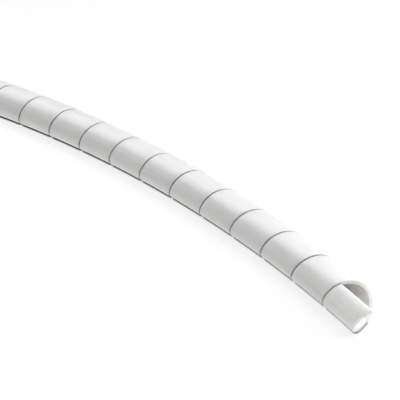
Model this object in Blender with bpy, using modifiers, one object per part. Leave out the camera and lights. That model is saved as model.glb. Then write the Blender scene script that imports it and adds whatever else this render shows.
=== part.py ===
"""Spiral cable wrap: a plastic tube slit along a left-handed helix, so that it is one long band.

The band is wound round an open bore that holds the cables. The length keeps the gentle bow that
it took on its reel, and lies flat on the floor with the bow in the floor's plane.
Units are metres, +Z is up, and the origin is on the floor under the middle of the bounding box.
"""

import math

import bmesh
import bpy
from mathutils import Vector

# Driving dimensions
OUTER_DIAMETER = 0.0200
WALL = 0.0021
PITCH = 0.0240
SLIT = 0.0010
TUBE_LENGTH = 1.000
BOW_RADIUS = 0.650

# Where the near end of the band is cut, measured up the inner side of the bow from the floor
END_CUT_ANGLE = math.radians(157.5)

# Flat facets in one turn of the tube, shaded as one round wall up to the crease angle
FACETS_PER_TURN = 24
CREASE_ANGLE = math.radians(40)

# Natural low-density polyethylene: waxy white with a soft gloss
PLASTIC_COLOUR = (0.90, 0.90, 0.89, 1.0)
PLASTIC_ROUGHNESS = 0.38

# Derived sizes
FACET_ANGLE = math.tau / FACETS_PER_TURN
FACET_ADVANCE = PITCH / FACETS_PER_TURN
BAND_WIDTH = PITCH - SLIT
OUTER_RADIUS = OUTER_DIAMETER / 2
BORE_RADIUS = OUTER_RADIUS - WALL
FACET_COUNT = round((TUBE_LENGTH - BAND_WIDTH) / FACET_ADVANCE)


def clear_scene():
    """Remove every object that the scene starts with."""
    for old in list(bpy.data.objects):
        bpy.data.objects.remove(old, do_unlink=True)


def corner_radius(flat_radius):
    """Radius at a facet's corners, for a facet whose middle lies at flat_radius."""
    return flat_radius / math.cos(FACET_ANGLE / 2)


def first_corner_angle():
    """Angle of the near cut from the floor, moved to the nearest corner between two facets."""
    return (round(END_CUT_ANGLE / FACET_ANGLE - 0.5) + 0.5) * FACET_ANGLE


def add_wall_section(mesh_data):
    """Add the band's section at the near cut: the wall's thickness by the band's width."""
    angle = first_corner_angle()
    outward = Vector((0.0, math.sin(angle), -math.cos(angle)))
    along = Vector((BAND_WIDTH, 0.0, 0.0))
    inner = outward * corner_radius(BORE_RADIUS)
    outer = outward * corner_radius(OUTER_RADIUS)
    corners = [inner, outer, outer + along, inner + along]
    return mesh_data.faces.new([mesh_data.verts.new(corner) for corner in corners])


def wind_band():
    """Sweep the wall's section along the helix, from the near cut to the far one."""
    band = bmesh.new()
    section = add_wall_section(band)
    bmesh.ops.spin(
        band,
        geom=[section, *section.edges, *section.verts],
        cent=(0.0, 0.0, 0.0),
        axis=(1.0, 0.0, 0.0),
        dvec=(FACET_ADVANCE, 0.0, 0.0),
        angle=-FACET_COUNT * FACET_ANGLE,
        steps=FACET_COUNT,
    )
    bmesh.ops.recalc_face_normals(band, faces=band.faces[:])
    mesh = bpy.data.meshes.new("spiral_band")
    band.to_mesh(mesh)
    band.free()
    return mesh


def make_plastic():
    """Material of the band."""
    plastic = bpy.data.materials.new("natural_polyethylene")
    plastic.use_nodes = True
    shader = plastic.node_tree.nodes["Principled BSDF"]
    shader.inputs["Base Color"].default_value = PLASTIC_COLOUR
    shader.inputs["Roughness"].default_value = PLASTIC_ROUGHNESS
    shader.inputs["Metallic"].default_value = 0.0
    return plastic


def bow_in_floor_plane(tube):
    """Bend the straight tube to the bow's radius about a vertical axis, tangent to X at the near end."""
    wound_length = FACET_COUNT * FACET_ADVANCE + BAND_WIDTH
    bow = tube.modifiers.new("bow", "SIMPLE_DEFORM")
    bow.deform_method = "BEND"
    bow.deform_axis = "Z"
    bow.angle = wound_length / BOW_RADIUS


def stand_on_floor(tube):
    """Move the tube so that the origin lies on the floor under the middle of its bounding box."""
    bpy.context.view_layer.update()
    evaluated = tube.evaluated_get(bpy.context.evaluated_depsgraph_get())
    corners = [Vector(corner) for corner in evaluated.bound_box]
    low = [min(corner[axis] for corner in corners) for axis in range(3)]
    high = [max(corner[axis] for corner in corners) for axis in range(3)]
    tube.location = (-(low[0] + high[0]) / 2, -(low[1] + high[1]) / 2, -low[2])


def build_wrap():
    """Make the whole wrap: one band in one piece."""
    mesh = wind_band()
    mesh.materials.append(make_plastic())
    mesh.shade_smooth()
    mesh.set_sharp_from_angle(angle=CREASE_ANGLE)
    wrap = bpy.data.objects.new("spiral_band", mesh)
    collection = bpy.data.collections.new("spiral_cable_wrap")
    bpy.context.scene.collection.children.link(collection)
    collection.objects.link(wrap)
    bow_in_floor_plane(wrap)
    stand_on_floor(wrap)


clear_scene()
build_wrap()
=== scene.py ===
"""Looks of the spiral cable wrap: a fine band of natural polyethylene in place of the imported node.

The band is wound straight from one section, closed at its ends, then bowed as the frame's node is.
Lengths are in metres, +Z is up. Patterns are given in millimetres on the plastic's surface.
"""

import math

import bmesh
import bpy
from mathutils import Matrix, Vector


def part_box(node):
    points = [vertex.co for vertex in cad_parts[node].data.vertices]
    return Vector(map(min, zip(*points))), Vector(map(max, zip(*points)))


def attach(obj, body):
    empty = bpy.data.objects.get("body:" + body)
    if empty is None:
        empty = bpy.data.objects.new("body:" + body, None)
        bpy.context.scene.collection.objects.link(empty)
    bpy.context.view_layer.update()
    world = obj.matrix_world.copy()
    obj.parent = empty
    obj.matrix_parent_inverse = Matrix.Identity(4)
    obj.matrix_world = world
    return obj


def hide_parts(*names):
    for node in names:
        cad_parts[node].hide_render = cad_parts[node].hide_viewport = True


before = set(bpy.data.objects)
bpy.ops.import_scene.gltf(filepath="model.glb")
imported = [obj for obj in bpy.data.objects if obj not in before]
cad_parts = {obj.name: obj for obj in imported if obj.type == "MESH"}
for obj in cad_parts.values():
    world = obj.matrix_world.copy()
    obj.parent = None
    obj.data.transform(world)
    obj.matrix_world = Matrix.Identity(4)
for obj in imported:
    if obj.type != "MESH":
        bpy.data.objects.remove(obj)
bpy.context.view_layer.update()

MM = 0.001

# Sizes of the wrap
OUTER_RADIUS = 10.0 * MM
WALL = 2.1 * MM
PITCH = 24.0 * MM
SLIT = 1.0 * MM
TUBE_LENGTH = 1000.0 * MM
BOW_RADIUS = 650.0 * MM

# Where the near end of the band is cut, measured up the inner side of the bow from the floor
NEAR_CUT_ANGLE = math.radians(157.5)

# Sizes that follow from them
BAND_WIDTH = PITCH - SLIT
MIDDLE_RADIUS = OUTER_RADIUS - WALL / 2
WOUND_TURNS = (TUBE_LENGTH - BAND_WIDTH) / PITCH

# How finely the band is modelled
STEPS_PER_TURN = 72
WIDTH_CUTS = 3
EDGE_ROUND = 0.14 * MM
EDGE_SEGMENTS = 3
END_ROUND = 0.12 * MM
END_SEGMENTS = 2
CREASE_ANGLE = math.radians(32)

# Patterns of the plastic, as wide as they are across the tube. The real die lines are 0.2 to 0.3 mm
# apart. They and the streaks are drawn coarser than that, so that they show.
DIE_LINE_SPACING = 0.9 * MM
DIE_LINE_DEPTH = 0.05 * MM
STREAK_WIDTH = 2.5 * MM
GRAIN_SIZE = 0.25 * MM
GRAIN_DEPTH = 0.02 * MM
CLOUD_SIZE = 9.0 * MM

# Share of their scale that the lines and streaks keep along the tube, which draws them out
DRAWN_OUT_SHARE = 0.02

# Colours of the plastic, and its roughness from the glossiest to the dullest cloud
STREAK_SHADE = "#dfded8"
STREAK_WHITE = "#f1f0eb"
# Painted shade for the slit's walls, where they face each other closely
SLIT_PAINTED_SHADE = "#9a9a97"
GLOSSY_ROUGHNESS = 0.34
DULL_ROUGHNESS = 0.44

# How far the slit's walls and the floor beside the wrap look for what closes them in, and how open
# each is, from 0 to 1, where their painted shade is full and where it ends
SLIT_REACH = 1.2 * MM
SLIT_SHUT = 0.35
SLIT_FREE = 0.9
CONTACT_REACH = 1.6 * MM
CONTACT_SHUT = 0.5
CONTACT_FREE = 0.85
REACH_SAMPLES = 16

# Studio: the floor's side, its grey, the light that it gives by itself as a share of pure white, and
# the slightly cool white of the soft boxes
FLOOR_SIZE = 60.0
FLOOR_GREY = "#7e7e7e"
FLOOR_GLOW = 0.77
SOFT_BOX_WHITE = "#f7f8ff"

# The photograph's camera, found from the slit lines and outlines
IMAGE_SIZE = 400
FOCAL_PIXELS = 1247.4
CAMERA_AZIMUTH = math.radians(149.948)
CAMERA_ELEVATION = math.radians(33.10)
TIP_PIXEL = (377.7, 324.0)
TIP_DEPTH = 558.2 * MM

# Camera values that don't change its view: the sensor's width in millimetres, and the nearest and
# farthest that it sees
SENSOR_WIDTH = 36.0
CLIP_START = 0.01
CLIP_END = 20.0


def linear(hex_colour):
    """sRGB hex to the linear colour that the shaders take."""
    channels = [int(hex_colour[i:i + 2], 16) / 255 for i in (1, 3, 5)]
    return tuple(c / 12.92 if c <= 0.04045 else ((c + 0.055) / 1.055) ** 2.4 for c in channels) + (1.0,)


def node(tree, kind, settings=(), **links):
    """Add one shader node: settings are attributes, links are input values or other nodes' outputs.

    A link is named for its input, or i and the input's number where several inputs share a name. In a
    Mix node of colours, i0 is the share of i7 over i6, and output 2 is the mixed colour.
    """
    made = tree.nodes.new(kind)
    for name, value in dict(settings).items():
        setattr(made, name, value)
    for name, value in links.items():
        numbered = name[0] == "i" and name[1:].isdigit()
        socket = made.inputs[int(name[1:]) if numbered else name.replace("_", " ")]
        if isinstance(value, bpy.types.NodeSocket):
            tree.links.new(value, socket)
        else:
            socket.default_value = value
    return made


def new_material(name):
    """A material with an empty node tree, its Principled shader and its output."""
    material = bpy.data.materials.new(name)
    material.use_nodes = True
    tree = material.node_tree
    tree.nodes.clear()
    shader = tree.nodes.new("ShaderNodeBsdfPrincipled")
    output = tree.nodes.new("ShaderNodeOutputMaterial")
    tree.links.new(shader.outputs["BSDF"], output.inputs["Surface"])
    return material, tree, shader


def milky_white(tree, drawn_out):
    """Warm white that changes a little from one long streak to the next, as the melt flowed."""
    streaks = node(tree, "ShaderNodeTexNoise", Vector=drawn_out, Scale=1 / STREAK_WIDTH, Detail=3.0)
    white = node(
        tree, "ShaderNodeMix", {"data_type": "RGBA"},
        i0=streaks.outputs["Fac"], i6=linear(STREAK_SHADE), i7=linear(STREAK_WHITE),
    )
    return white.outputs[2]


def paint_slit_shade(tree, white):
    """Painted shade: grey where the slit's two walls face each other closely, white where the plastic
    stands free.
    """
    openness = node(
        tree, "ShaderNodeAmbientOcclusion", {"samples": REACH_SAMPLES, "only_local": True},
        Distance=SLIT_REACH,
    )
    free = node(
        tree, "ShaderNodeMapRange", Value=openness.outputs["AO"],
        From_Min=SLIT_SHUT, From_Max=SLIT_FREE,
    )
    colour = node(
        tree, "ShaderNodeMix", {"data_type": "RGBA"},
        i0=free.outputs["Result"], i6=linear(SLIT_PAINTED_SHADE), i7=white,
    )
    return colour.outputs[2]


def die_drawn_relief(tree, place, drawn_out):
    """Faint lines that the die left along the tube, and the plastic's fine grain over them."""
    die_lines = node(tree, "ShaderNodeTexNoise", Vector=drawn_out, Scale=1 / DIE_LINE_SPACING, Detail=2.0)
    line_relief = node(
        tree, "ShaderNodeBump", Strength=0.5, Distance=DIE_LINE_DEPTH, Height=die_lines.outputs["Fac"],
    )
    grain = node(tree, "ShaderNodeTexNoise", Vector=place, Scale=1 / GRAIN_SIZE, Detail=1.0)
    relief = node(
        tree, "ShaderNodeBump", Strength=0.06, Distance=GRAIN_DEPTH,
        Height=grain.outputs["Fac"], Normal=line_relief.outputs["Normal"],
    )
    return relief.outputs["Normal"]


def natural_polyethylene():
    """Extruded natural LDPE: milky, waxy white that light soaks into, with faint lines from the die.

    Painted shade darkens the knife's cut where the slit's two walls face each other closely, which
    draws the thin grey spiral that the eye sees first. The cut face that stands free at the near end
    stays white.
    """
    material, tree, shader = new_material("natural_polyethylene")
    place = node(tree, "ShaderNodeAttribute", {"attribute_name": "straight_place"}).outputs["Vector"]
    drawn_out = node(
        tree, "ShaderNodeMapping", Vector=place, Scale=(DRAWN_OUT_SHARE, 1.0, 1.0),
    ).outputs["Vector"]
    cloud = node(tree, "ShaderNodeTexNoise", Vector=place, Scale=1 / CLOUD_SIZE, Detail=2.0)
    roughness = node(
        tree, "ShaderNodeMapRange", Value=cloud.outputs["Fac"],
        To_Min=GLOSSY_ROUGHNESS, To_Max=DULL_ROUGHNESS,
    )
    tree.links.new(paint_slit_shade(tree, milky_white(tree, drawn_out)), shader.inputs["Base Color"])
    tree.links.new(roughness.outputs["Result"], shader.inputs["Roughness"])
    tree.links.new(die_drawn_relief(tree, place, drawn_out), shader.inputs["Normal"])
    shader.inputs["IOR"].default_value = 1.51
    shader.inputs["Subsurface Weight"].default_value = 0.9
    shader.inputs["Subsurface Radius"].default_value = (1.0, 1.0, 1.0)
    shader.inputs["Subsurface Scale"].default_value = 3.0 * MM
    return material


def pale_floor():
    """Matt pale studio floor, lit from below like a light table, so that the wrap's shadow stays faint.

    The glow stops within a millimetre or two of the wrap, a painted contact shadow that leaves a thin
    dark line under it.
    """
    material, tree, shader = new_material("studio_floor")
    openness = node(
        tree, "ShaderNodeAmbientOcclusion", {"samples": REACH_SAMPLES}, Distance=CONTACT_REACH,
    )
    glow = node(
        tree, "ShaderNodeMapRange", Value=openness.outputs["AO"],
        From_Min=CONTACT_SHUT, From_Max=CONTACT_FREE, To_Max=FLOOR_GLOW,
    )
    tree.links.new(glow.outputs["Result"], shader.inputs["Emission Strength"])
    shader.inputs["Emission Color"].default_value = linear("#ffffff")
    shader.inputs["Base Color"].default_value = linear(FLOOR_GREY)
    shader.inputs["Roughness"].default_value = 0.9
    shader.inputs["Specular IOR Level"].default_value = 0.2
    return material


def edit(piece):
    """Enter edit mode on one piece, with nothing selected in it."""
    bpy.ops.object.select_all(action="DESELECT")
    piece.select_set(True)
    bpy.context.view_layer.objects.active = piece
    bpy.ops.object.mode_set(mode="EDIT")
    bpy.ops.mesh.select_all(action="DESELECT")


def select_edges(piece, wanted):
    """Select the edges that wanted() accepts, in edit mode."""
    bpy.ops.mesh.select_mode(type="EDGE")
    mesh = bmesh.from_edit_mesh(piece.data)
    for edge in mesh.edges:
        edge.select_set(bool(wanted(edge)))
    bmesh.update_edit_mesh(piece.data)


def apply_modifier(piece, kind, **settings):
    """Add one modifier with its settings and apply it."""
    bpy.context.view_layer.objects.active = piece
    modifier = piece.modifiers.new(kind.lower(), kind)
    for name, value in settings.items():
        setattr(modifier, name, value)
    bpy.ops.object.modifier_apply(modifier=modifier.name)


def add_section():
    """The band's section at the near cut: a plane as wide as the band and as thick as the wall."""
    bpy.ops.object.select_all(action="DESELECT")
    outward = Vector((0.0, math.sin(NEAR_CUT_ANGLE), -math.cos(NEAR_CUT_ANGLE)))
    bpy.ops.mesh.primitive_plane_add(
        size=1.0,
        location=outward * MIDDLE_RADIUS + Vector((BAND_WIDTH / 2, 0.0, 0.0)),
        rotation=(NEAR_CUT_ANGLE - math.pi / 2, 0.0, 0.0),
    )
    band = bpy.context.object
    band.name = "spiral_wrap_band"
    band.scale = (BAND_WIDTH, WALL, 1.0)
    bpy.ops.object.transform_apply(location=True, rotation=True, scale=True)
    return band


def round_section(band):
    """Round the section's corners, leave only its outline, and cut its long sides for the bow."""
    edit(band)
    bpy.ops.mesh.select_all(action="SELECT")
    bpy.ops.mesh.bevel(offset=EDGE_ROUND, segments=EDGE_SEGMENTS, affect="VERTICES")
    bpy.ops.mesh.select_all(action="SELECT")
    bpy.ops.mesh.delete(type="ONLY_FACE")
    select_edges(band, lambda edge: edge.calc_length() > BAND_WIDTH / 2)
    bpy.ops.mesh.subdivide(number_cuts=WIDTH_CUTS)
    bpy.ops.object.mode_set(mode="OBJECT")


def wind(band):
    """Sweep the section's outline along the left-handed helix."""
    steps = round(WOUND_TURNS * STEPS_PER_TURN)
    apply_modifier(
        band, "SCREW",
        axis="X",
        angle=-WOUND_TURNS * math.tau,
        screw_offset=WOUND_TURNS * PITCH,
        steps=steps,
        render_steps=steps,
        use_merge_vertices=False,
        use_smooth_shade=True,
    )


def close_ends(band):
    """Close both ends of the swept band, and round the edges of those two many-sided faces."""
    edit(band)
    bpy.ops.mesh.select_mode(type="EDGE")
    bpy.ops.mesh.select_non_manifold()
    bpy.ops.mesh.fill_holes(sides=0)
    select_edges(band, lambda edge: any(len(face.verts) > 4 for face in edge.link_faces))
    bpy.ops.mesh.bevel(offset=END_ROUND, segments=END_SEGMENTS, affect="EDGES")
    bpy.ops.mesh.select_all(action="SELECT")
    bpy.ops.mesh.normals_make_consistent(inside=False)
    bpy.ops.object.mode_set(mode="OBJECT")


def keep_straight_place(band):
    """Store each point's place on the straight tube, which the plastic's pattern follows."""
    mesh = band.data
    stored = mesh.attributes.new("straight_place", "FLOAT_VECTOR", "POINT")
    for point, vertex in zip(stored.data, mesh.vertices):
        point.vector = vertex.co


def bow(band):
    """Bend the straight tube to the bow in the floor's plane, as the frame's node is bent."""
    apply_modifier(
        band, "SIMPLE_DEFORM",
        deform_method="BEND",
        deform_axis="Z",
        angle=TUBE_LENGTH / BOW_RADIUS,
    )


def place_in_frame(band):
    """Move the mesh onto the frame's node: same middle, lowest point on the floor."""
    low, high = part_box("spiral_band")
    places = [vertex.co for vertex in band.data.vertices]
    own_low = Vector([min(place[axis] for place in places) for axis in range(3)])
    own_high = Vector([max(place[axis] for place in places) for axis in range(3)])
    shift = (low + high) / 2 - (own_low + own_high) / 2
    shift.z = low.z - own_low.z
    band.location = shift
    bpy.ops.object.select_all(action="DESELECT")
    band.select_set(True)
    bpy.context.view_layer.objects.active = band
    bpy.ops.object.transform_apply(location=True, rotation=True, scale=True)


def make_band():
    """The whole wrap."""
    band = add_section()
    round_section(band)
    wind(band)
    close_ends(band)
    keep_straight_place(band)
    bow(band)
    place_in_frame(band)
    bpy.ops.object.shade_smooth_by_angle(angle=CREASE_ANGLE)
    band.data.materials.append(natural_polyethylene())
    return band


def make_floor():
    """A plain pale floor under the wrap, which goes on as far as the camera sees."""
    bpy.ops.object.select_all(action="DESELECT")
    bpy.ops.mesh.primitive_plane_add(size=FLOOR_SIZE)
    floor = bpy.context.object
    floor.name = "studio_floor"
    floor.data.materials.append(pale_floor())


def near_tip():
    """Place of the tube's axis at the near end, from the highest corner of the node's near cut."""
    corners = [vertex.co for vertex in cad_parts["spiral_band"].data.vertices]
    corner = min(corners, key=lambda place: (round(place.x, 6), -place.z))
    corner_radius = (corner.z - OUTER_RADIUS) / -math.cos(NEAR_CUT_ANGLE)
    return Vector((corner.x, corner.y - corner_radius * math.sin(NEAR_CUT_ANGLE), OUTER_RADIUS))


def make_camera(tip):
    """Put the camera where the photograph's stood, from the near tip's pixel and depth."""
    flat = math.cos(CAMERA_ELEVATION)
    back = Vector((
        flat * math.cos(CAMERA_AZIMUTH),
        flat * math.sin(CAMERA_AZIMUTH),
        math.sin(CAMERA_ELEVATION),
    ))
    right = Vector((-math.sin(CAMERA_AZIMUTH), math.cos(CAMERA_AZIMUTH), 0.0))
    up = back.cross(right)
    metres_per_pixel = TIP_DEPTH / FOCAL_PIXELS
    across = (TIP_PIXEL[0] - IMAGE_SIZE / 2) * metres_per_pixel
    down = (TIP_PIXEL[1] - IMAGE_SIZE / 2) * metres_per_pixel
    data = bpy.data.cameras.new("photo_camera")
    data.sensor_width = SENSOR_WIDTH
    data.lens = FOCAL_PIXELS / IMAGE_SIZE * SENSOR_WIDTH
    data.clip_start = CLIP_START
    data.clip_end = CLIP_END
    camera = bpy.data.objects.new("photo_camera", data)
    bpy.context.scene.collection.objects.link(camera)
    camera.location = tip + back * TIP_DEPTH - right * across + up * down
    camera.rotation_euler = back.to_track_quat("Z", "Y").to_euler()
    bpy.context.scene.camera = camera


def add_soft_box(name, place, towards, size, power):
    """A square soft box at a place, facing a point."""
    data = bpy.data.lights.new(name, "AREA")
    data.shape = "SQUARE"
    data.size = size
    data.energy = power
    data.color = linear(SOFT_BOX_WHITE)[:3]
    box = bpy.data.objects.new(name, data)
    bpy.context.scene.collection.objects.link(box)
    box.location = place
    box.rotation_euler = (towards - box.location).to_track_quat("-Z", "Y").to_euler()


def make_backdrop():
    """A plain backdrop as bright as the floor's own light. The camera sees it, and it lights nothing."""
    world = bpy.data.worlds.new("studio")
    bpy.context.scene.world = world
    world.use_nodes = True
    backdrop = world.node_tree.nodes["Background"]
    backdrop.inputs["Color"].default_value = linear("#ffffff")
    backdrop.inputs["Strength"].default_value = FLOOR_GLOW
    for ray in ("diffuse", "glossy", "transmission", "scatter"):
        setattr(world.cycles_visibility, ray, False)


def light_studio(tip):
    """Soft boxes above the stretch in view, off both its ends, and above the near tip."""
    middle = tip + Vector((0.12, 0.02, 0.0))
    add_soft_box("overhead_box", middle + Vector((-0.004, -0.208, 1.182)), middle, size=0.60, power=8.80)
    add_soft_box("far_end_box", tip + Vector((0.90, 0.30, 0.80)), middle, size=0.60, power=4.30)
    add_soft_box("near_end_box", tip + Vector((-0.25, -0.45, 0.45)), tip, size=0.35, power=3.60)
    add_soft_box("tip_box", tip + Vector((-0.05, 0.25, 0.60)), tip, size=0.30, power=0.78)


bpy.context.scene.view_settings.view_transform = "Standard"
tip = near_tip()
make_camera(tip)
make_floor()
make_backdrop()
light_studio(tip)

wrap = make_band()
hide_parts("spiral_band")
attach(wrap, "root")
